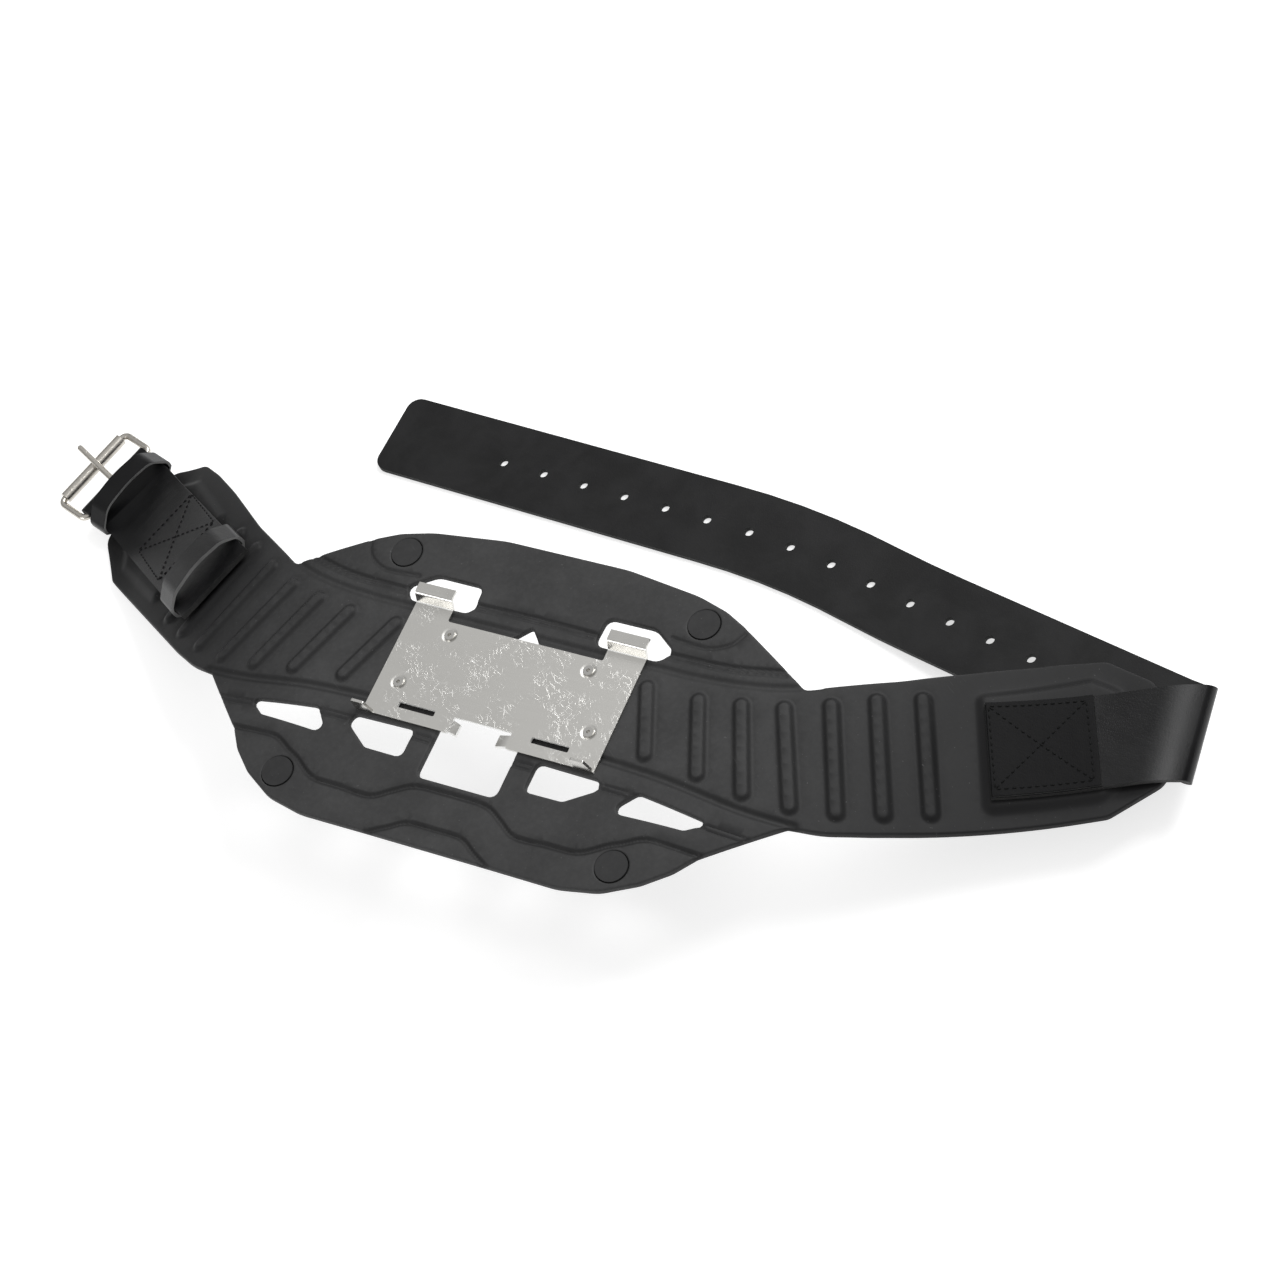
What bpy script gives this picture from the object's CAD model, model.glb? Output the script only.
"""Dive weight belt: moulded rubber back panel, steel hook plate, leather straps.

The rubber panel is built here with its ribs, pads and grooves. The straps,
patch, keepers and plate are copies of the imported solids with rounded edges, and
the straps get stitches. Rivets, washers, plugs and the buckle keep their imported
shapes and get new materials.
"""
import logging
import math
from dataclasses import dataclass, field
from enum import Enum
from typing import Callable, Sequence

import bmesh
import bpy
import numpy as np
from mathutils import Matrix, Vector
from mathutils.bvhtree import BVHTree
from mathutils.geometry import delaunay_2d_cdt


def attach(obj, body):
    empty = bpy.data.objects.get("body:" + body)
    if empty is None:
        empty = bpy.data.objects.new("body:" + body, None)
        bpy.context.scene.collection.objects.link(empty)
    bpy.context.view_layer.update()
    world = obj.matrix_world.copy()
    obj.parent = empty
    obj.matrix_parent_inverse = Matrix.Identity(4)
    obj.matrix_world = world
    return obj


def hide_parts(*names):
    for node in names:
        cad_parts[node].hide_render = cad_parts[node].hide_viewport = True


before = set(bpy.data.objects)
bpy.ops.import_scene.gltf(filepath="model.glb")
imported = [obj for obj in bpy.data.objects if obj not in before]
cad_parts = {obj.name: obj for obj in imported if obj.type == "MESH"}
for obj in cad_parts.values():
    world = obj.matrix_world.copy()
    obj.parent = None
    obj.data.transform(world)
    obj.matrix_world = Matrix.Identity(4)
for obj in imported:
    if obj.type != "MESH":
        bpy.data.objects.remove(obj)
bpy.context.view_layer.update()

LOG = logging.getLogger("weight_belt")
MM = 0.001
DATUM = np.array([10.3, -65.2, 74.9877])  # panel middle in the belt's frame, mm
RIVETS = ((41.6, 35.9), (-41.6, 35.9), (56.7, 2.9), (-56.7, 2.9))  # from DATUM, mm
PLATE_TOP = 0.0765  # upper face of the hook plate, metres
CUT_EDGE_TOP = 0.0768  # upright faces below this are the plate's cut edge
CURL_START = 0.0772  # the hooks and corner tabs stand over this


class Side(Enum):
    """The two wings of the belt."""

    RIGHT = 1
    LEFT = -1


# ------------------------------------------------------------- shader helper
class Value:
    """One shader socket that Python arithmetic works on."""

    def __init__(self, graph: "Graph", socket: bpy.types.NodeSocket) -> None:
        """Keep the socket and its graph."""
        self.graph, self.socket = graph, socket

    def _math(self, operation: str, *others: "Value | float") -> "Value":
        """Add a Math node on this value.

        Args:
            operation: The Math node's operation.
            others: Further operands.

        Returns:
            The node's result.
        """
        return self.graph.node("ShaderNodeMath", {"operation": operation}, [self, *others])

    def __add__(self, other: "Value | float") -> "Value":
        """Sum."""
        return self._math("ADD", other)

    __radd__ = __add__

    def __mul__(self, other: "Value | float") -> "Value":
        """Product."""
        return self._math("MULTIPLY", other)

    __rmul__ = __mul__

    def __sub__(self, other: "Value | float") -> "Value":
        """Difference."""
        return self._math("SUBTRACT", other)

    def step(self, low: float, high: float, to_low: float = 0.0, to_high: float = 1.0) -> "Value":
        """Smooth step between two values.

        Args:
            low: Where the step starts.
            high: Where it ends.
            to_low: Result below the start.
            to_high: Result above the end.

        Returns:
            The stepped value.
        """
        return self.graph.node("ShaderNodeMapRange", {"interpolation_type": "SMOOTHSTEP"},
                               [self, low, high, to_low, to_high])


class Graph:
    """Node tree of one material."""

    def __init__(self, name: str) -> None:
        """Make the material and its Principled shader."""
        self.material = bpy.data.materials.new(name)
        self.material.use_nodes = True
        self.tree = self.material.node_tree
        self.shader = self.tree.nodes["Principled BSDF"]

    def node(self, kind: str, settings: dict | None = None,
             values: Sequence | dict = (), output: int | str = 0) -> Value:
        """Add one node.

        Args:
            kind: The node's type name.
            settings: Attributes that are set first.
            values: Values or links of its sockets, in order or by name.
            output: Which output to return.

        Returns:
            The chosen output.
        """
        made = self.tree.nodes.new(kind)
        for key, setting in (settings or {}).items():
            setattr(made, key, setting)
        pairs = values.items() if isinstance(values, dict) else enumerate(values)
        for key, value in pairs:
            if value is None:
                continue
            if isinstance(value, Value):
                self.tree.links.new(value.socket, made.inputs[key])
            else:
                made.inputs[key].default_value = value
        return Value(self, made.outputs[output])

    def place(self, scale: tuple = (1.0, 1.0, 1.0), turn: tuple = (0.0, 0.0, 0.0),
              shift: tuple = (0.0, 0.0, 0.0)) -> Value:
        """Object coordinates through a Mapping node.

        Args:
            scale: Pattern scale on each axis.
            turn: Turn in radians.
            shift: Offset in metres.

        Returns:
            The mapped coordinates.
        """
        where = self.node("ShaderNodeTexCoord", output="Object")
        return self.node("ShaderNodeMapping", None,
                         {"Vector": where, "Scale": scale, "Rotation": turn, "Location": shift})

    def strokes(self, turn: float, scale: tuple) -> Value:
        """Object coordinates turned first and stretched after.

        Args:
            turn: Direction of the strokes in radians.
            scale: Pattern scale on each axis.

        Returns:
            The mapped coordinates.
        """
        turned = self.place(turn=(0.0, 0.0, turn))
        return self.node("ShaderNodeMapping", None, {"Vector": turned, "Scale": scale})

    def noise(self, where: Value, scale: float, detail: float = 3.0, rough: float = 0.5,
              warp: float = 0.0) -> Value:
        """Noise texture.

        Args:
            where: Coordinates.
            scale: Cycles per metre.
            detail: Octaves.
            rough: Strength of the fine octaves.
            warp: Distortion.

        Returns:
            Its factor.
        """
        return self.node("ShaderNodeTexNoise", None, {
            "Vector": where, "Scale": scale, "Detail": detail, "Roughness": rough,
            "Distortion": warp})

    def blend(self, mask: Value, first: tuple, second: tuple) -> Value:
        """Mix two colours.

        Args:
            mask: 0 gives the first colour and 1 the second.
            first: Colour.
            second: Colour.

        Returns:
            The mixed colour.
        """
        made = self.tree.nodes.new("ShaderNodeMix")
        made.data_type = "RGBA"
        self.tree.links.new(mask.socket, made.inputs[0])
        for socket, value in ((made.inputs[6], first), (made.inputs[7], second)):
            if isinstance(value, Value):
                self.tree.links.new(value.socket, socket)
            else:
                socket.default_value = (*value, 1.0)
        return Value(self, made.outputs[2])

    def bump(self, height: Value, distance: float, strength: float = 1.0,
             under: Value | None = None) -> Value:
        """Bump node.

        Args:
            height: Height pattern.
            distance: Depth in metres.
            strength: Strength of the effect.
            under: Normal of a bump below.

        Returns:
            The bumped normal.
        """
        return self.node("ShaderNodeBump", None, {
            "Strength": strength, "Distance": distance, "Height": height, "Normal": under})

    def shade(self, colour: Value | tuple, rough: Value | float, normal: Value | None = None,
              **fixed: float) -> bpy.types.Material:
        """Connect the shader.

        Args:
            colour: Base colour.
            rough: Roughness.
            normal: Normal.
            fixed: Uniform values of other sockets, with _ for spaces.

        Returns:
            The finished material.
        """
        sockets = {"Base Color": colour, "Roughness": rough, "Normal": normal}
        for key, value in sockets.items():
            if value is None:
                continue
            if isinstance(value, Value):
                self.tree.links.new(value.socket, self.shader.inputs[key])
            elif isinstance(value, tuple):
                self.shader.inputs[key].default_value = (*value, 1.0)
            else:
                self.shader.inputs[key].default_value = value
        for key, value in fixed.items():
            self.shader.inputs[key.replace("_", " ")].default_value = value
        return self.material


# ------------------------------------------------------------------ finishes
@dataclass(frozen=True)
class MouldedRubber:
    """Matt moulded rubber with flow marks, dust and scuffs, darker in its creases."""

    dark: tuple = (0.034, 0.034, 0.0344)
    light: tuple = (0.052, 0.052, 0.0524)

    def build(self, name: str = "moulded_rubber") -> bpy.types.Material:
        """Make the material.

        Args:
            name: The material's name.

        Returns:
            The material.
        """
        g = Graph(name)
        here = g.place()
        cloud = g.noise(here, 22.0, 4.0, 0.6, 0.4)
        fine = g.noise(here, 420.0, 3.0, 0.6)
        grain = g.noise(here, 2300.0, 2.0, 0.6)
        tone = cloud.step(0.32, 0.7) * 0.7 + fine.step(0.35, 0.7) * 0.3
        base = g.blend(tone, self.dark, self.light)
        along = g.node("ShaderNodeSeparateXYZ", None, [here])
        right_wing = along.step(0.10, 0.27) * 0.88
        left_wing = (along * -1.0).step(0.09, 0.24) * 0.92
        base = g.blend(right_wing + left_wing, base, (0.009, 0.009, 0.0095))
        scuff_at = g.strokes(0.6, (60.0, 700.0, 60.0))
        scuff = g.noise(scuff_at, 1.0, 2.0, 0.5).step(0.69, 0.74) * cloud.step(0.5, 0.65)
        dust = g.noise(here, 700.0, 1.0, 0.4).step(0.76, 0.80)
        flank = g.node("ShaderNodeAttribute", {"attribute_name": "flank"}, [], output="Fac")
        base = g.blend(flank * 0.62, base, (0.006, 0.006, 0.0064))
        base = g.blend(scuff * 0.22 + dust * 0.35, base, (0.11, 0.11, 0.11))
        rough = 0.50 + cloud * 0.12 + scuff * 0.1
        normal = g.bump(grain, 0.00005, 0.5)
        normal = g.bump(fine, 0.00006, 0.5, normal)
        return g.shade(base, rough, normal, Specular_IOR_Level=0.18)


@dataclass(frozen=True)
class SatinSteel:
    """Satin stainless sheet with handling scratches and dished rivet seats."""

    tone: tuple = (0.68, 0.67, 0.64)
    rough: float = 0.30
    seats: tuple = ()
    scratches: float = 1.0
    metal: float = 1.0

    def build(self, name: str) -> bpy.types.Material:
        """Make the material.

        Args:
            name: The material's name.

        Returns:
            The material.
        """
        g = Graph(name)
        here = g.place()
        haze = g.noise(here, 60.0, 4.0, 0.6)
        pits = g.noise(here, 900.0, 2.0, 0.5)
        lines = None
        for turn, scale in ((0.35, (130.0, 2300.0, 60.0)), (1.95, (150.0, 2500.0, 60.0)),
                            (2.7, (110.0, 2100.0, 60.0)), (1.2, (170.0, 2700.0, 60.0)),
                            (0.8, (190.0, 2600.0, 60.0))):
            at = g.strokes(turn, scale)
            mark = g.noise(at, 1.0, 1.0, 0.4, 0.5).step(0.69, 0.73)
            lines = mark if lines is None else lines + mark
        lines = lines * haze.step(0.40, 0.60) * self.scratches
        rolled = g.noise(g.place((8.0, 900.0, 8.0)), 1.0, 3.0, 0.6)
        specks = pits.step(0.67, 0.73)
        dull = haze * 0.10 + rolled * 0.05
        base = g.blend(haze.step(0.3, 0.7), self.tone, tuple(c * 0.93 for c in self.tone))
        base = g.blend(lines * 0.5 + specks * 0.35, base, (0.95, 0.95, 0.94))
        rough = self.rough + dull + lines * 0.14 - specks * 0.08
        normal = g.bump(lines * -1.0 + rolled * 0.25, 0.00004, 0.6)
        if self.seats:
            dish = None
            for x, y in self.seats:
                spot = g.node("ShaderNodeVectorMath", {"operation": "DISTANCE"},
                              [here, (x * MM, y * MM, PLATE_TOP)], output="Value")
                ring = (spot * -1.0).step(-0.0048, -0.0026)
                dish = ring if dish is None else dish + ring
            normal = g.bump(dish, -0.00045, 1.0, normal)
        return g.shade(base, rough, normal, Metallic=self.metal)


@dataclass(frozen=True)
class StrapLeather:
    """Black strap leather: grain side, flesh side or cut edge."""

    dark: tuple = (0.0026, 0.0026, 0.0030)
    light: tuple = (0.0055, 0.0055, 0.0060)
    gloss: float = 0.33
    grain: float = 1.0
    fibre: float = 0.0
    shine: float = 0.30

    def build(self, name: str) -> bpy.types.Material:
        """Make the material.

        Args:
            name: The material's name.

        Returns:
            The material.
        """
        g = Graph(name)
        here = g.place()
        cloud = g.noise(here, 35.0, 4.0, 0.6, 0.3)
        pores = g.node("ShaderNodeTexVoronoi", None, {"Vector": here, "Scale": 1250.0,
                                                       "Randomness": 1.0})
        fine = g.noise(here, 2600.0, 3.0, 0.7)
        crease = g.noise(g.place((120.0, 420.0, 200.0), (0.0, 0.0, 0.35)), 1.0, 4.0, 0.6, 0.6)
        base = g.blend(cloud.step(0.3, 0.7), self.dark, self.light)
        lint = g.noise(here, 800.0, 1.0, 0.4).step(0.77, 0.81)
        base = g.blend(lint * 0.12, base, (0.06, 0.06, 0.06))
        rough = self.gloss + cloud * 0.14 + fine * 0.08
        normal = g.bump(pores.step(0.1, 0.6) * 0.6 + fine * 0.5, 0.00006, 0.55 * self.grain)
        normal = g.bump(crease, 0.00018, 0.35 * self.grain, normal)
        if self.fibre:
            hair = g.noise(here, 1500.0, 5.0, 0.8, 1.2)
            base = g.blend(hair.step(0.45, 0.75) * self.fibre, base, (0.085, 0.085, 0.083))
            normal = g.bump(hair, 0.00025, 0.8, normal)
        return g.shade(base, rough, normal, Specular_IOR_Level=self.shine)


@dataclass(frozen=True)
class WaxedThread:
    """Black waxed sewing thread."""

    def build(self, name: str = "waxed_thread") -> bpy.types.Material:
        """Make the material.

        Args:
            name: The material's name.

        Returns:
            The material.
        """
        g = Graph(name)
        twist = g.noise(g.place((1800.0, 1800.0, 1800.0)), 1.0, 2.0, 0.5)
        base = g.blend(twist, (0.0012, 0.0012, 0.0012), (0.004, 0.004, 0.0042))
        return g.shade(base, 0.5 + twist * 0.2, g.bump(twist, 0.0001, 0.7),
                       Specular_IOR_Level=0.15)


@dataclass(frozen=True)
class PaleFloor:
    """Plain pale studio floor."""

    def build(self) -> bpy.types.Material:
        """Make the material.

        Returns:
            The material.
        """
        g = Graph("pale_floor")
        mottle = g.noise(g.place(), 3.0, 2.0)
        return g.shade(g.blend(mottle, (0.60, 0.60, 0.60), (0.62, 0.62, 0.62)), 0.9,
                       Specular_IOR_Level=0.05, Emission_Color=(1.0, 1.0, 1.0, 1.0),
                       Emission_Strength=0.66)


# --------------------------------------------------------------- mesh helpers
def new_piece(name: str, verts: Sequence, faces: Sequence) -> bpy.types.Object:
    """Make an object at the origin from points in metres.

    Args:
        name: The piece's name.
        verts: Points.
        faces: Vertex numbers of each face.

    Returns:
        The object, linked to the scene.
    """
    mesh = bpy.data.meshes.new(name)
    mesh.from_pydata([tuple(v) for v in verts], [], [tuple(f) for f in faces])
    mesh.validate()
    made = bpy.data.objects.new(name, mesh)
    bpy.context.scene.collection.objects.link(made)
    return made


def select_only(piece: bpy.types.Object) -> None:
    """Make one piece the selected and active object."""
    bpy.ops.object.select_all(action="DESELECT")
    piece.select_set(True)
    bpy.context.view_layer.objects.active = piece


def face_outward(piece: bpy.types.Object) -> None:
    """Turn all faces of one piece outward."""
    select_only(piece)
    bpy.ops.object.mode_set(mode="EDIT")
    bpy.ops.mesh.select_all(action="SELECT")
    bpy.ops.mesh.normals_make_consistent(inside=False)
    bpy.ops.object.mode_set(mode="OBJECT")


def soften(piece: bpy.types.Object, angle: float = 38.0) -> None:
    """Smooth shading with creases kept at an angle in degrees."""
    select_only(piece)
    bpy.ops.object.shade_smooth_by_angle(angle=math.radians(angle))


def merged_copy(node: str, name: str, bevel: float, segments: int = 3,
                angle: float = 42.0) -> bpy.types.Object:
    """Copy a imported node, merge its triangles and round its edges.

    Args:
        node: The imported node.
        name: The new piece's name.
        bevel: Width of the rounding, metres.
        segments: Segments of the rounding.
        angle: Edges sharper than this, in degrees, are rounded.

    Returns:
        The new piece.
    """
    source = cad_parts[node]
    mesh = bmesh.new()
    mesh.from_mesh(source.data)
    bmesh.ops.remove_doubles(mesh, verts=mesh.verts, dist=2e-6)
    bmesh.ops.dissolve_limit(mesh, angle_limit=math.radians(0.6), verts=mesh.verts,
                             edges=mesh.edges)
    data = bpy.data.meshes.new(name)
    mesh.to_mesh(data)
    mesh.free()
    piece = bpy.data.objects.new(name, data)
    bpy.context.scene.collection.objects.link(piece)
    select_only(piece)
    cut = piece.modifiers.new("Rounding", "BEVEL")
    cut.width, cut.segments = bevel, segments
    cut.limit_method, cut.angle_limit = "ANGLE", math.radians(angle)
    cut.use_clamp_overlap = True
    bpy.ops.object.modifier_apply(modifier=cut.name)
    soften(piece)
    weigh = piece.modifiers.new("Weighing", "WEIGHTED_NORMAL")
    weigh.keep_sharp, weigh.weight = True, 60
    bpy.ops.object.modifier_apply(modifier=weigh.name)
    return piece


def dress(piece: bpy.types.Object, materials: Sequence[bpy.types.Material],
          choose: Callable[[Vector, Vector], int] | None = None) -> None:
    """Give a piece its materials.

    Args:
        piece: The piece.
        materials: Its materials.
        choose: Picks a material's number from a face's middle and normal.
    """
    piece.data.materials.clear()
    for material in materials:
        piece.data.materials.append(material)
    if choose is not None:
        for face in piece.data.polygons:
            face.material_index = choose(face.center, face.normal)


def rounded(corners: Sequence[tuple], gap: float = 1.4) -> np.ndarray:
    """Points of a closed loop of (x, y, radius) corners.

    Args:
        corners: The corners, in millimetres.
        gap: Spacing of points on the loop.

    Returns:
        An array of points.
    """
    points, spans, count = [], [], len(corners)
    for i, (x, y, radius) in enumerate(corners):
        here = np.array([x, y], float)
        back = np.array(corners[i - 1][:2], float) - here
        ahead = np.array(corners[(i + 1) % count][:2], float) - here
        lb, la = np.linalg.norm(back), np.linalg.norm(ahead)
        back, ahead = back / lb, ahead / la
        turn = math.pi - math.acos(max(-1.0, min(1.0, float(back @ ahead))))
        if radius <= 0 or turn < 0.01:
            spans.append((here, here, here, 0.0))
            continue
        cut = min(radius * math.tan(turn / 2), 0.45 * lb, 0.45 * la)
        real = cut / math.tan(turn / 2)
        middle = (back + ahead) / np.linalg.norm(back + ahead)
        centre = here + middle * (real / math.cos(turn / 2))
        spans.append((here + back * cut, here + ahead * cut, centre, turn))
    for i, (start, end, centre, turn) in enumerate(spans):
        if turn:
            a, b = start - centre, end - centre
            steps = max(3, int(np.linalg.norm(a) * turn / gap))
            for k in range(steps + 1):
                part = k / steps
                arm = (math.sin((1 - part) * turn) * a + math.sin(part * turn) * b) / math.sin(turn)
                points.append(centre + arm)
        else:
            points.append(start)
        follow = spans[(i + 1) % count][0]
        last = points[-1]
        room = float(np.linalg.norm(follow - last))
        parts = max(1, int(room / gap))
        points.extend(last + (follow - last) * k / parts for k in range(1, parts))
    return np.array(points)


def smooth_line(points: Sequence[tuple], steps: int = 6) -> np.ndarray:
    """Open curve through given points.

    Args:
        points: Points of the line.
        steps: Divisions of each stretch.

    Returns:
        The finer line.
    """
    p = np.array(points, float)
    p = np.vstack([2 * p[0] - p[1], p, 2 * p[-1] - p[-2]])
    rows = []
    for i in range(1, len(p) - 2):
        for k in range(steps):
            t = k / steps
            rows.append(0.5 * ((2 * p[i]) + (p[i + 1] - p[i - 1]) * t
                               + (2 * p[i - 1] - 5 * p[i] + 4 * p[i + 1] - p[i + 2]) * t * t
                               + (3 * p[i] - p[i - 1] - 3 * p[i + 1] + p[i + 2]) * t ** 3))
    rows.append(p[-2])
    return np.array(rows)


def line_distance(points: np.ndarray, line: np.ndarray, closed: bool = False) -> np.ndarray:
    """Distance of many points from a line of short runs.

    Args:
        points: The points.
        line: The line's corners.
        closed: Whether the line is a loop.

    Returns:
        One distance for each point.
    """
    starts = line if closed else line[:-1]
    ends = np.roll(line, -1, axis=0) if closed else line[1:]
    best = np.full(len(points), 1e9)
    for a, b in zip(starts, ends):
        run = b - a
        length = float(run @ run) or 1e-12
        part = np.clip(((points - a) @ run) / length, 0.0, 1.0)
        away = points - a - part[:, None] * run
        best = np.minimum(best, np.einsum("ij,ij->i", away, away))
    return np.sqrt(best)


def inside(points: np.ndarray, loop: np.ndarray) -> np.ndarray:
    """Whether each point is inside a closed loop."""
    found = np.zeros(len(points), bool)
    x, y = points[:, 0], points[:, 1]
    for (x0, y0), (x1, y1) in zip(loop, np.roll(loop, -1, axis=0)):
        if y0 == y1:
            continue
        crosses = (y0 > y) != (y1 > y)
        found ^= crosses & (x < (x1 - x0) * (y - y0) / (y1 - y0) + x0)
    return found


def ease(value: np.ndarray) -> np.ndarray:
    """Smooth step from 0 to 1."""
    t = np.clip(value, 0.0, 1.0)
    return t * t * (3 - 2 * t)


# ------------------------------------------------------------ the back panel
@dataclass
class ArchedFace:
    """Outer face of the panel, level in the middle and sloping down the wings."""

    flat: float = 98.0
    right_peak: float = 225.0
    right_level: float = 306.0
    right_droop: float = 22.0
    left_peak: float = 228.0
    left_start: float = 290.0
    left_droop: float = 27.0
    left_end: float = 4.0
    wing: float = 340.0
    tables: dict = field(default_factory=dict)

    def __post_init__(self) -> None:
        """Integrate both wings."""
        for side in Side:
            marks = np.arange(0.0, 411.0)
            angles = self.slope(side, marks[:-1] + 0.5)
            x = np.concatenate([[0.0], np.cumsum(np.cos(angles))])
            z = np.concatenate([[0.0], -np.cumsum(np.sin(angles))])
            self.tables[side] = (marks, x, z)

    def slope(self, side: Side, along: np.ndarray) -> np.ndarray:
        """Downward slope in radians.

        Args:
            side: The wing.
            along: Distances from the middle.

        Returns:
            The slopes.
        """
        along = np.asarray(along, float)
        if side is Side.RIGHT:
            part = np.clip(np.minimum((along - self.flat) / (self.right_peak - self.flat),
                                      (self.right_level - along)
                                      / (self.right_level - self.right_peak)), 0, 1)
            angle = np.radians(self.right_droop) * part
        else:
            rise = np.clip((along - self.flat) / (self.left_peak - self.flat), 0, 1)
            fall = np.clip((along - self.left_start) / (self.wing - self.left_start), 0, 1)
            angle = np.radians(self.left_droop) * rise - np.radians(
                self.left_droop - self.left_end) * fall
        return np.where(along > self.wing, 0.0, angle)

    def plan(self, along: float, up: float) -> tuple[float, float]:
        """Plan position of a point given by its signed distance along the face."""
        side = Side.RIGHT if along >= 0 else Side.LEFT
        marks, x, _ = self.tables[side]
        return side.value * float(np.interp(abs(along), marks, x)), up

    def lift(self, points: np.ndarray, over: np.ndarray) -> np.ndarray:
        """Points of the face raised from their plan positions.

        Args:
            points: Plan positions in panel millimetres.
            over: Heights square to the face.

        Returns:
            Points in metres in the belt's frame.
        """
        z, tilt = np.zeros(len(points)), np.zeros(len(points))
        for side in Side:
            mine = (points[:, 0] >= 0) == (side is Side.RIGHT)
            marks, x, down = self.tables[side]
            reach = np.abs(points[mine, 0])
            z[mine] = np.interp(reach, x, down)
            tilt[mine] = self.slope(side, np.interp(reach, x, marks))
        rows = np.column_stack([points, z + over / np.cos(tilt)])
        return (rows + DATUM) * MM


@dataclass
class BackPanel:
    """Moulded rubber panel with ribs, strap pads, grooves and openings."""

    face: ArchedFace = field(default_factory=ArchedFace)
    thickness: float = 3.5
    edge_round: float = 1.1
    rib_height: float = 1.8
    rib_half: float = 5.0
    pad_height: float = 2.4
    fine: float = 1.0
    outline: tuple = (
        (37, 98.2, 80), (80, 93, 60), (98, 88, 30), (110, 82.3, 30), (153.5, 58, 5),
        (196, 80, 120), (240, 106.3, 200), (268, 121, 60), (288, 129.5, 10), (316, 124.5, 12),
        (339.5, 75, 12), (317, 47.5, 9), (212, -2.4, 60), (190, -11.5, 60), (173, -14.8, 4),
        (137.7, -44.8, 8), (129, -56, 20), (116, -67, 20), (98, -76.8, 25), (76, -81, 40),
        (36, -80.8, 40))
    openings: tuple = (
        ((37.4, 68.6, 4.5), (65.6, 68.7, 9), (80.3, 58.8, 5), (74.5, 51.2, 6), (36.6, 51.6, 5)),
        ((137.1, -25.8, 2), (125.8, -33.3, 5), (83.6, -35, 3.5), (95.4, -21.2, 4)),
        ((36.6, -19.2, 3.5), (36.4, -36.5, 3.5), (58.9, -36.3, 5), (74.5, -25.5, 4),
         (72.4, -19.9, 3)))
    middle_openings: tuple = (
        ((-23.6, -3, 3), (23.6, -3, 3), (23.6, -44.3, 4), (-23.6, -44.3, 4)),
        ((0, 52.6, 1.5), (8.2, 43.5, 3), (8.2, 37, 3), (-8.2, 37, 3), (-8.2, 43.5, 3)))
    ribs: tuple = (
        ((73.9, 39.1), (91.5, -3.8)), ((103.1, 39.3), (121.8, -6.6)),
        ((125.3, 43.1), (147.3, -8.9)), ((146.4, 48.3), (172.0, -7.5)),
        ((167.9, 57.8), (194.3, -2.0)), ((188.0, 68.6), (215.8, 6.6)),
        ((208.9, 78.4), (237.1, 16.7)))
    pad: tuple = ((232, 89, 6), (259, 28, 6), (314, 54, 9), (323, 72, 9), (302, 117, 9),
                  (284, 119, 8))
    plugs: tuple = ((89.6, 77.6), (99.0, -62.4))
    # (line, width, depth) of the moulded lines on one half.
    grooves: tuple = (
        (((0, 58.5), (60, 57), (82.6, 57.0), (112, 58.2), (132, 62.0), (150, 67.0)), 2.0, 1.1),
        (((0, 55.9), (60, 54.4), (82.6, 54.4), (112, 55.6), (133, 59.6), (152, 64.5)), 1.5, 0.7),
        (((0, 47.3), (50, 47.0), (72, 47.6), (99, 47.9), (122, 50.2), (142, 54.8), (160, 62)),
         3.2, 0.9),
        (((0, -8.0), (50, -8.0), (71, -8.9), (103, -10.5), (145.6, -14.4), (176, -13.2)),
         3.4, 1.4),
        (((0, -49.0), (20.5, -49.8), (32, -55.6), (43, -61.6), (61.7, -61.1), (79, -60.2),
          (92.5, -52.4), (99, -49.4), (110, -43.8), (124, -43.4), (139, -43.8)), 2.2, 1.4),
        (((0, -69.6), (15.5, -70.0), (25, -75.2), (35, -80.6)), 2.0, 1.3),
        (((113.5, 81), (111.8, 75.6), (108.5, 70.6), (103, 67.0), (97, 65.0), (88, 64.9),
          (76, 66.0)), 1.8, 0.8),
        (((0, -22.3), (30, -22.3), (80, -21.9), (110, -24.2), (136, -27.2), (158, -27.4)),
         1.2, 0.7),
        (((0, -24.9), (30, -24.9), (80, -24.5), (110, -26.8), (136, -29.6), (156, -29.6)),
         1.2, 0.7))

    def mapped(self, side: Side, corners: Sequence[tuple]) -> list:
        """Corners of one side in plan millimetres."""
        return [(*self.face.plan(side.value * a, u), r) for a, u, r in corners]

    def loops(self) -> list[np.ndarray]:
        """All closed edges of the sheet, the outline first.

        Returns:
            Loops of plan points.
        """
        right = self.mapped(Side.RIGHT, self.outline)
        left = self.mapped(Side.LEFT, self.outline)[::-1]
        found = [rounded(right + left, 1.8)]
        found += [rounded(corners) for corners in self.middle_openings]
        for side in Side:
            found += [rounded(self.mapped(side, corners)) for corners in self.openings]
            for along, up in self.plugs:
                x, y = self.face.plan(side.value * along, up)
                turn = np.linspace(0, 2 * math.pi, 48, endpoint=False)
                found.append(np.column_stack([x + 8.7 * np.cos(turn), y + 8.7 * np.sin(turn)]))
        for x, y in RIVETS:
            turn = np.linspace(0, 2 * math.pi, 20, endpoint=False)
            found.append(np.column_stack([x + 1.6 * np.cos(turn), y + 1.6 * np.sin(turn)]))
        return found

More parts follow.
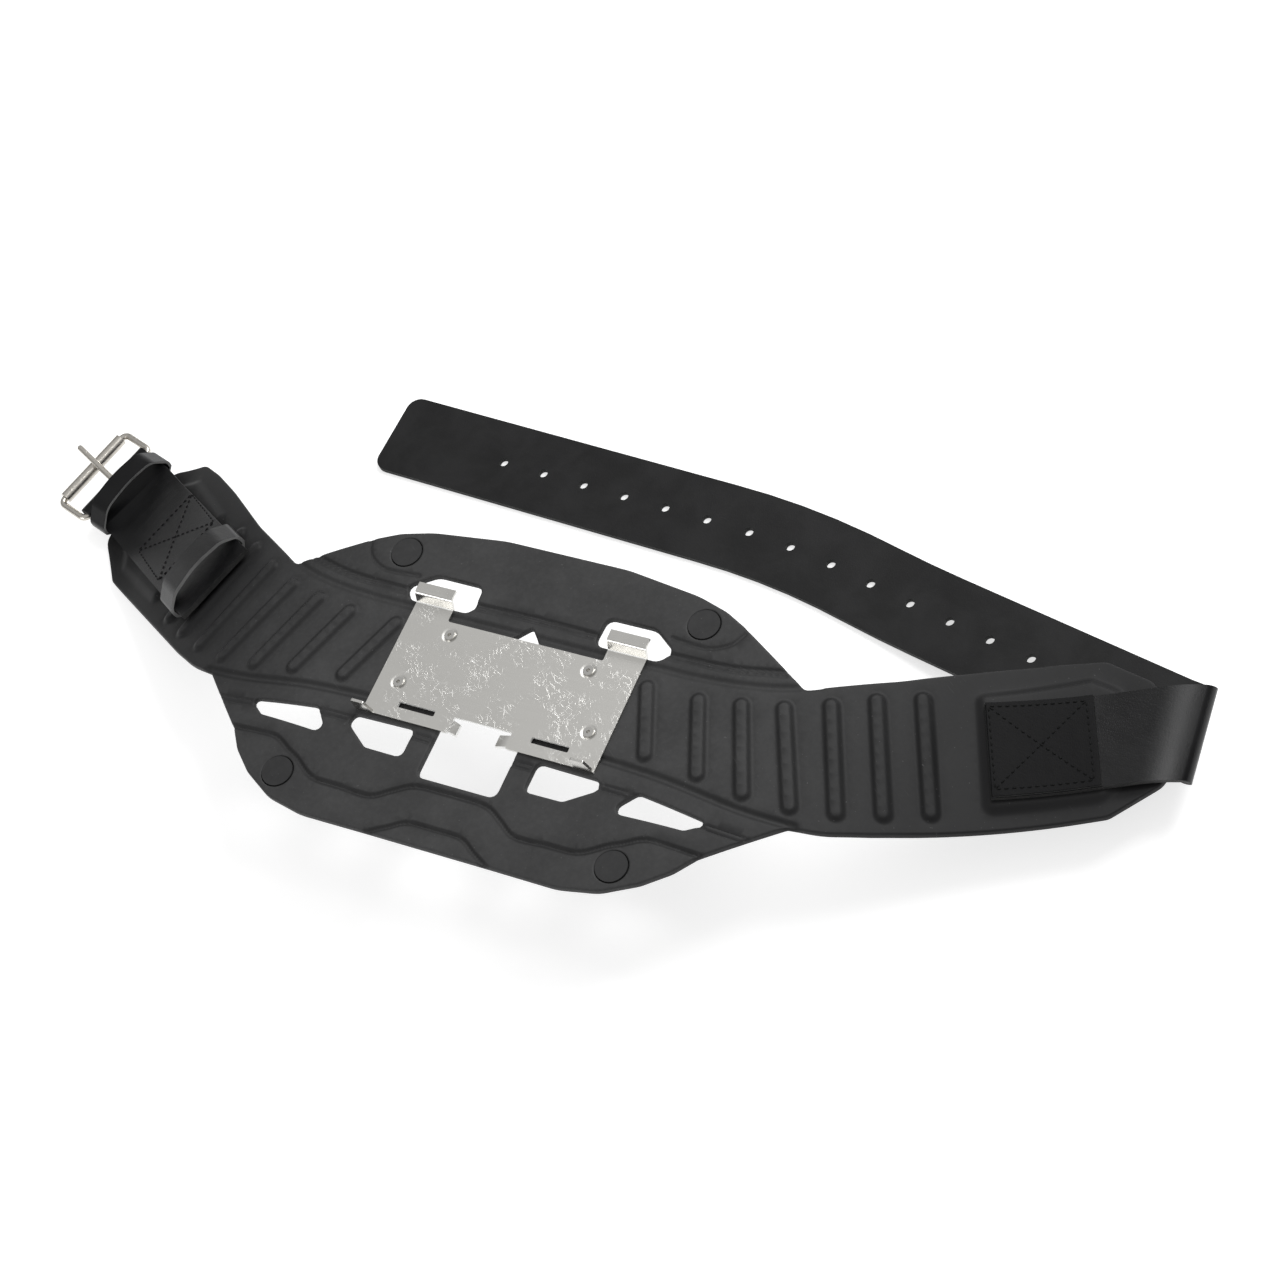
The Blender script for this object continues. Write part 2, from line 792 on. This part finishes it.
    def relief(self, points: np.ndarray) -> np.ndarray:
        """Height of the moulding over the plain face.

        Args:
            points: Plan positions.

        Returns:
            Heights in millimetres.
        """
        raised = np.zeros(len(points))
        cut = np.zeros(len(points))
        for side in Side:
            for (a0, u0), (a1, u1) in self.ribs:
                top = np.array(self.face.plan(side.value * a0, u0))
                low = np.array(self.face.plan(side.value * a1, u1))
                run = (low - top) / np.linalg.norm(low - top)
                ends = np.array([top + run * 4.0, low - run * 4.0])
                depth = self.rib_half - line_distance(points, ends)
                raised = np.maximum(raised, self.rib_height * ease(depth / 3.0))
                ditch = np.clip(1 - np.abs(depth + 0.7) / 1.0, 0, 1)
                cut = np.maximum(cut, 0.15 * ease(ditch))
            ring = rounded(self.mapped(side, self.pad), 4.0)
            depth = line_distance(points, ring, True) * np.where(inside(points, ring), 1, -1)
            raised = np.maximum(raised, self.pad_height * ease((depth + 0.6) / 6.5))
            for line, width, deep in self.grooves:
                path = np.array([self.face.plan(side.value * a, u)
                                 for a, u in smooth_line(line, 5)])
                away = line_distance(points, path)
                cut = np.maximum(cut, deep * ease(1 - away / width))
        return raised - cut * (raised < 0.3)

    def sheet_points(self, loops: list[np.ndarray]) -> np.ndarray:
        """Inner points of the sheet, close together where the moulding changes.

        Args:
            loops: The closed edges.

        Returns:
            Plan points.
        """
        low, high = loops[0].min(axis=0), loops[0].max(axis=0)

        def lattice(gap: float) -> np.ndarray:
            xs = np.arange(low[0], high[0], gap)
            ys = np.arange(low[1], high[1], gap * 0.866)
            grid = np.array([(x + (gap / 2 if j % 2 else 0), y)
                             for j, y in enumerate(ys) for x in xs])
            keep = inside(grid, loops[0])
            for loop in loops[1:]:
                keep &= ~inside(grid, loop)
            return grid[keep]

        fine, coarse = lattice(self.fine), lattice(4.0)

        def change(points: np.ndarray, reach: float) -> np.ndarray:
            middle = self.relief(points)
            moves = [np.abs(self.relief(points + np.array(step)) - middle)
                     for step in ((reach, 0), (0, reach), (-reach, 0), (0, -reach))]
            return np.max(moves, axis=0)

        fine = fine[change(fine, 0.8) > 0.03]
        coarse = coarse[change(coarse, 2.4) < 0.03]
        inner = np.vstack([fine, coarse])
        edge = np.vstack(loops)
        room = np.full(len(inner), 1e9)
        for start in range(0, len(inner), 2000):
            part = inner[start:start + 2000]
            gaps = np.abs(part[:, None, :] - edge[None, :, :]).sum(axis=2)
            room[start:start + 2000] = gaps.min(axis=1)
        inner = inner[room > 2.4]
        rims = []
        for number, loop in enumerate(loops):
            ahead = np.roll(loop, -1, axis=0) - np.roll(loop, 1, axis=0)
            out = np.column_stack([ahead[:, 1], -ahead[:, 0]])
            out /= np.linalg.norm(out, axis=1)[:, None]
            probe = inside(loop + out * 0.05, loop)
            inward = np.where(probe[:, None], out, -out) * (1 if number == 0 else -1)
            for offset in (0.35, 0.85, 1.4):
                ring = loop + inward * offset
                keep = line_distance(ring, loop, True) > offset * 0.9
                rims.append(ring[keep])
        return np.vstack([inner] + rims)

    def build(self) -> bpy.types.Object:
        """Make the panel's mesh.

        Returns:
            The panel.
        """
        loops = self.loops()
        edge = np.vstack(loops)
        inner = self.sheet_points(loops)
        lines, start = [], 0
        for loop in loops:
            count = len(loop)
            lines += [(start + k, start + (k + 1) % count) for k in range(count)]
            start += count

        def sheet(points: np.ndarray) -> tuple[np.ndarray, np.ndarray, dict]:
            found = delaunay_2d_cdt([Vector(p) for p in points], lines, [], 0, 1e-5)
            verts = np.array([tuple(v) for v in found[0]])
            faces = np.array([f for f in found[2] if len(f) == 3])
            middle = verts[faces].mean(axis=1)
            keep = inside(middle, loops[0])
            for loop in loops[1:]:
                keep &= ~inside(middle, loop)
            origin = {old: new for new, olds in enumerate(found[3]) for old in olds}
            return verts, faces[keep], origin

        top, top_faces, top_of = sheet(np.vstack([edge, inner]))
        spaced = inner[::9]
        bottom, bottom_faces, bottom_of = sheet(np.vstack([edge, spaced]))
        rim = np.full(len(top), 1e9)
        for loop in loops:
            rim = np.minimum(rim, line_distance(top, loop, True))
        near = np.clip(self.edge_round - rim, 0, None)
        drop = self.edge_round - np.sqrt(np.clip(self.edge_round ** 2 - near ** 2, 0, None))
        height = self.relief(top) - drop
        verts = np.vstack([self.face.lift(top, height),
                           self.face.lift(bottom, np.full(len(bottom), -self.thickness))])
        shift = len(top)

        def turned(faces: np.ndarray, points: np.ndarray, up: bool) -> list:
            a, b, c = points[faces[:, 0]], points[faces[:, 1]], points[faces[:, 2]]
            spin = (b - a)[:, 0] * (c - a)[:, 1] - (b - a)[:, 1] * (c - a)[:, 0]
            flip = (spin > 0) != up
            rows = faces.copy()
            rows[flip] = rows[flip][:, ::-1]
            return rows.tolist()

        faces = turned(top_faces, top, True)
        faces += [[v + shift for v in f] for f in turned(bottom_faces, bottom, False)]
        for a, b in lines:
            if a in top_of and b in top_of and a in bottom_of and b in bottom_of:
                faces.append([top_of[a], top_of[b], bottom_of[b] + shift, bottom_of[a] + shift])
        piece = new_piece("rubber_panel", verts, faces)
        face_outward(piece)
        soften(piece, 50.0)
        reach, full_crease = 0.7, 0.65
        across = self.relief(top + (reach, 0)) - self.relief(top - (reach, 0))
        upward = self.relief(top + (0, reach)) - self.relief(top - (0, reach))
        steep = np.zeros(len(verts))
        steep[:shift] = np.clip(np.hypot(across, upward) / (2 * reach) / full_crease, 0, 1)
        layer = piece.data.attributes.new("flank", "FLOAT", "POINT")
        layer.data.foreach_set("value", steep.astype(np.float32))
        dress(piece, [MouldedRubber().build()])
        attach(piece, "belt")
        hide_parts("back_panel")
        return piece


# ------------------------------------------------------------- sewn leather
@dataclass
class Seam:
    """Row of stitches laid on a surface."""

    stitch: float = 0.0027
    gap: float = 0.0009
    radius: float = 0.00040
    sides: int = 6

    def sew(self, name: str, runs: Sequence[tuple], under: bpy.types.Object) -> bpy.types.Object:
        """Sew straight runs onto a piece.

        Args:
            name: The seam's name.
            runs: Pairs of plan points in metres.
            under: The piece that is sewn.

        Returns:
            The stitches as one mesh.
        """
        graph = bpy.context.evaluated_depsgraph_get()
        tree = BVHTree.FromObject(under, graph)
        verts, faces = [], []
        for (x0, y0), (x1, y1) in runs:
            start, end = Vector((x0, y0, 0.2)), Vector((x1, y1, 0.2))
            count = max(1, int((end - start).length / (self.stitch + self.gap)))
            step = (end - start) / count
            for k in range(count):
                a = start + step * (k + 0.5 - 0.5 * self.stitch / step.length)
                b = start + step * (k + 0.5 + 0.5 * self.stitch / step.length)
                hits = [tree.ray_cast(point, Vector((0, 0, -1))) for point in (a, (a + b) / 2, b)]
                if any(hit[0] is None for hit in hits):
                    continue
                sink = (-self.radius * 1.1, self.radius * 0.55, -self.radius * 1.1)
                line = [hit[0] + hit[1] * s for hit, s in zip(hits, sink)]
                line = [line[0], line[0].lerp(line[1], 0.45) + hits[1][1] * self.radius * 0.5,
                        line[1], line[2].lerp(line[1], 0.45) + hits[1][1] * self.radius * 0.5,
                        line[2]]
                along = (line[-1] - line[0]).normalized()
                normal = hits[1][1]
                cross = along.cross(normal).normalized()
                first = len(verts)
                for j, centre in enumerate(line):
                    size = self.radius * (0.55 if j in (0, 4) else 1.0)
                    for m in range(self.sides):
                        turn = 2 * math.pi * m / self.sides
                        verts.append(centre + cross * (size * math.cos(turn))
                                     + normal * (size * math.sin(turn)))
                for ring in range(first, len(verts) - self.sides, self.sides):
                    above = ring + self.sides
                    for m in range(self.sides):
                        n = (m + 1) % self.sides
                        faces.append((ring + m, ring + n, above + n, above + m))
                last = len(verts) - self.sides
                faces.append(tuple(first + m for m in reversed(range(self.sides))))
                faces.append(tuple(last + m for m in range(self.sides)))
        piece = new_piece(name, verts, faces)
        face_outward(piece)
        soften(piece, 60.0)
        dress(piece, [WaxedThread().build()])
        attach(piece, "belt")
        return piece


@dataclass
class Straps:
    """Both leather straps, the sewn patch and the two keeper loops."""

    face: ArchedFace
    heading_right: float = 24.5
    heading_left: float = 26.6

    def __post_init__(self) -> None:
        """Make the leathers."""
        self.grain = StrapLeather(gloss=0.22, shine=0.2).build("strap_grain_side")
        self.flesh = StrapLeather((0.006, 0.006, 0.0062), (0.013, 0.013, 0.0134), 0.5,
                                  1.2, shine=0.22).build("strap_flesh_side")
        self.edge = StrapLeather((0.012, 0.012, 0.012), (0.03, 0.03, 0.0295), 0.6, 1.0,
                                 0.5).build("strap_cut_edge")
        self.loop_edge = StrapLeather((0.12, 0.12, 0.12), (0.2, 0.2, 0.198), 0.5, 0.8,
                                      0.25).build("keeper_cut_edge")
        self.patch = StrapLeather((0.0022, 0.0022, 0.0025), (0.005, 0.005, 0.0053), 0.46,
                                  1.6, shine=0.1).build("patch_leather")

    def long_strap(self) -> bpy.types.Object:
        """The punched strap on the right wing.

        Returns:
            The strap.
        """
        piece = merged_copy("adjustment_strap", "long_strap", 0.0005)

        def choose(middle: Vector, normal: Vector) -> int:
            if abs(normal.z) < 0.5 and middle.x < 0.325:
                return 2
            if middle.x > 0.31 and abs(normal.y) > 0.8 and abs(normal.z) < 0.45:
                return 2
            return 1 if middle.z < 0.030 and normal.z > 0.85 else 0
        dress(piece, [self.grain, self.flesh, self.edge], choose)
        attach(piece, "belt")
        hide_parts("adjustment_strap")
        return piece

    def cover_patch(self) -> bpy.types.Object:
        """The sewn patch over the long strap's end.

        Returns:
            The patch.
        """
        piece = merged_copy("strap_patch", "sewn_patch", 0.0005)
        dress(piece, [self.patch, self.edge],
              lambda middle, normal: 1 if abs(normal.z) < 0.4 else 0)
        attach(piece, "belt")
        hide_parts("strap_patch")
        return piece

    def short_strap(self) -> bpy.types.Object:
        """The doubled strap that holds the buckle.

        Returns:
            The strap.
        """
        piece = merged_copy("buckle_strap", "buckle_strap_leather", 0.0005)
        turn = math.radians(180 - self.heading_left)
        cross = Vector((-math.sin(turn), math.cos(turn), 0))
        run = Vector((math.cos(turn), math.sin(turn), 0))

        def choose(middle: Vector, normal: Vector) -> int:
            if abs(normal.dot(cross)) > 0.75:
                return 1
            return 1 if normal.dot(run) < -0.8 and middle.x > -0.23 else 0
        dress(piece, [self.grain, self.edge], choose)
        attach(piece, "belt")
        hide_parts("buckle_strap")
        return piece

    def keeper(self, node: str, body: str, heading: float) -> bpy.types.Object:
        """One keeper loop.

        Args:
            node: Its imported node.
            body: The body it rides on.
            heading: Direction of the strap there, degrees.

        Returns:
            The loop.
        """
        piece = merged_copy(node, node + "_leather", 0.00055)
        turn = math.radians(180 - heading)
        run = Vector((math.cos(turn), math.sin(turn), 0))
        dress(piece, [self.grain, self.loop_edge],
              lambda middle, normal: 1 if abs(normal.dot(run)) > 0.72 else 0)
        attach(piece, body)
        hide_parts(node)
        return piece

    def box_stitch(self, name: str, corners: Sequence[tuple],
                   under: bpy.types.Object) -> bpy.types.Object:
        """Sew a rectangle with a cross in it.

        Args:
            name: The seam's name.
            corners: Four corners as (along, up) on the face.
            under: The piece that is sewn.

        Returns:
            The stitches.
        """
        spots = []
        for along, up in corners:
            x, y = self.face.plan(along, up)
            spots.append(((x + DATUM[0]) * MM, (y + DATUM[1]) * MM))
        a, b, c, d = spots
        return Seam().sew(name, [(a, b), (b, c), (c, d), (d, a), (a, c), (b, d)], under)

    def build(self) -> list[bpy.types.Object]:
        """Make all the leather.

        Returns:
            The pieces.
        """
        strap, patch, short = self.long_strap(), self.cover_patch(), self.short_strap()
        pieces = [strap, patch, short,
                  self.keeper("keeper_upper", "keeper", 17.0),
                  self.keeper("keeper_lower", "belt", self.heading_left)]
        turn = math.radians(self.heading_right)
        run, up = (math.cos(turn), math.sin(turn)), (-math.sin(turn), math.cos(turn))

        def spot(ahead: float, aside: float) -> tuple[float, float]:
            return (250 + run[0] * ahead + up[0] * aside, 60.3 + run[1] * ahead + up[1] * aside)
        pieces.append(self.box_stitch("patch_seam", [
            spot(3.4, -22.2), spot(51.6, -22.2), spot(51.6, 22.2), spot(3.4, 22.2)], patch))
        pieces.append(self.box_stitch("buckle_strap_seam", [
            (-273.2, 101), (-232, 78.3), (-257.2, 40.2), (-297.5, 63.1)], short))
        return pieces


# ------------------------------------------------------------------ hardware
@dataclass
class Hardware:
    """Steel plate, rivets, plugs and the buckle's metal."""

    def plate(self) -> bpy.types.Object:
        """The hook plate with rounded cut edges.

        Returns:
            The plate.
        """
        piece = merged_copy("hook_plate", "steel_plate", 0.00042, 3, 30.0)
        spots = tuple((x + DATUM[0], y + DATUM[1]) for x, y in RIVETS)
        sheet = SatinSteel(seats=spots).build("satin_plate_steel")
        cut = SatinSteel((0.95, 0.95, 0.93), 0.42, (), 0.0, 0.35).build("plate_cut_edge")
        curl = SatinSteel((0.70, 0.69, 0.66), 0.13, (), 0.5).build("plate_curl_steel")

        def choose(middle: Vector, normal: Vector) -> int:
            upright = abs(normal.z) < 0.35 and max(abs(normal.x), abs(normal.y)) > 0.8
            if (upright or normal.y < -0.4) and middle.z < CUT_EDGE_TOP:
                return 1
            return 2 if middle.z > CURL_START else 0
        dress(piece, [sheet, cut, curl], choose)
        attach(piece, "belt")
        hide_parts("hook_plate")
        return piece

    def build(self) -> list[bpy.types.Object]:
        """Dress the hardware.

        Returns:
            New pieces.
        """
        rivet = SatinSteel((0.62, 0.61, 0.585), 0.12, (), 0.4).build("rivet_steel_polish")
        nickel = SatinSteel((0.60, 0.57, 0.52), 0.2, (), 0.7).build("warm_nickel")
        rubber = MouldedRubber((0.026, 0.026, 0.0265), (0.038, 0.038, 0.0385)).build("plug_rubber")
        choice = {"plate_rivets": rivet, "rivet_washers": rivet, "buckle_frame": nickel,
                  "buckle_roller": nickel, "buckle_prong": nickel}
        for name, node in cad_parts.items():
            material = rubber if name.startswith("corner_plug") else choice.get(name)
            if material is not None:
                if not node.data.materials:
                    node.data.materials.append(material)
                for slot in node.material_slots:
                    slot.material = material
        return [self.plate()]


# -------------------------------------------------------------------- studio
@dataclass
class Studio:
    """Camera, pale floor and soft light."""

    place: tuple = (0.721869, -0.596331, 1.333251)
    forward: tuple = (-0.424321, 0.385273, -0.819461)
    right: tuple = (0.8788, 0.393401, -0.270088)
    lens: float = 84.404

    def camera(self) -> None:
        """Add the camera at the viewing angle."""
        data = bpy.data.cameras.new("Camera")
        data.lens, data.sensor_width = self.lens, 36.0
        data.clip_start, data.clip_end = 0.05, 50.0
        camera = bpy.data.objects.new("Camera", data)
        bpy.context.scene.collection.objects.link(camera)
        ahead, right = Vector(self.forward).normalized(), Vector(self.right).normalized()
        up = right.cross(ahead).normalized()
        turn = Matrix((right, up, -ahead)).transposed().to_4x4()
        camera.matrix_world = Matrix.Translation(self.place) @ turn
        bpy.context.scene.camera = camera

    def light(self, name: str, place: tuple, aim: tuple, size: tuple, power: float) -> None:
        """Add one soft box.

        Args:
            name: Its name.
            place: Its position.
            aim: The point it faces.
            size: Its width and height.
            power: Its power in watts.
        """
        data = bpy.data.lights.new(name, "AREA")
        data.shape, data.size, data.size_y, data.energy = "RECTANGLE", size[0], size[1], power
        lamp = bpy.data.objects.new(name, data)
        bpy.context.scene.collection.objects.link(lamp)
        lamp.location = place
        lamp.rotation_euler = (Vector(aim) - Vector(place)).to_track_quat("-Z", "Y").to_euler()

    def build(self) -> None:
        """Make the studio."""
        self.camera()
        half, level = 6.0, -0.0005
        floor = new_piece("floor", [(-half, -half, level), (half, -half, level),
                                    (half, half, level), (-half, half, level)],
                          [(0, 1, 2, 3)])
        dress(floor, [PaleFloor().build()])
        self.light("key_box", (0.25, 1.75, 1.55), (0.0, 0.0, 0.0), (1.3, 0.8), 30.0)
        self.light("top_box", (0.85, 0.85, 2.0), (0.25, 0.0, 0.0), (0.7, 0.6), 16.0)
        self.light("front_strip", (-0.75, -1.4, 0.65), (0.0, -0.05, 0.05), (1.2, 0.5), 7.0)
        world = bpy.data.worlds.new("studio_air")
        world.use_nodes = True
        tree = world.node_tree
        where = tree.nodes.new("ShaderNodeTexCoord")
        split = tree.nodes.new("ShaderNodeSeparateXYZ")
        ramp = tree.nodes.new("ShaderNodeValToRGB")
        ramp.color_ramp.elements[0].position = 0.10
        ramp.color_ramp.elements[0].color = (0.14, 0.14, 0.14, 1)
        ramp.color_ramp.elements[1].position = 0.85
        ramp.color_ramp.elements[1].color = (0.62, 0.62, 0.62, 1)
        tree.links.new(where.outputs["Generated"], split.inputs[0])
        tree.links.new(split.outputs["Z"], ramp.inputs["Fac"])
        tree.links.new(ramp.outputs["Color"], tree.nodes["Background"].inputs["Color"])
        tree.nodes["Background"].inputs["Strength"].default_value = 1.0
        bpy.context.scene.world = world
        bpy.context.scene.view_settings.view_transform = "Standard"


def main() -> None:
    """Build the belt and its studio."""
    logging.basicConfig(level=logging.INFO, format="%(name)s: %(message)s")
    Studio().build()
    panel = BackPanel()
    pieces = [panel.build()]
    pieces += Straps(panel.face).build()
    pieces += Hardware().build()
    for piece in pieces:
        LOG.info("%s: %d faces", piece.name, len(piece.data.polygons))


if __name__ == "__main__":
    main()
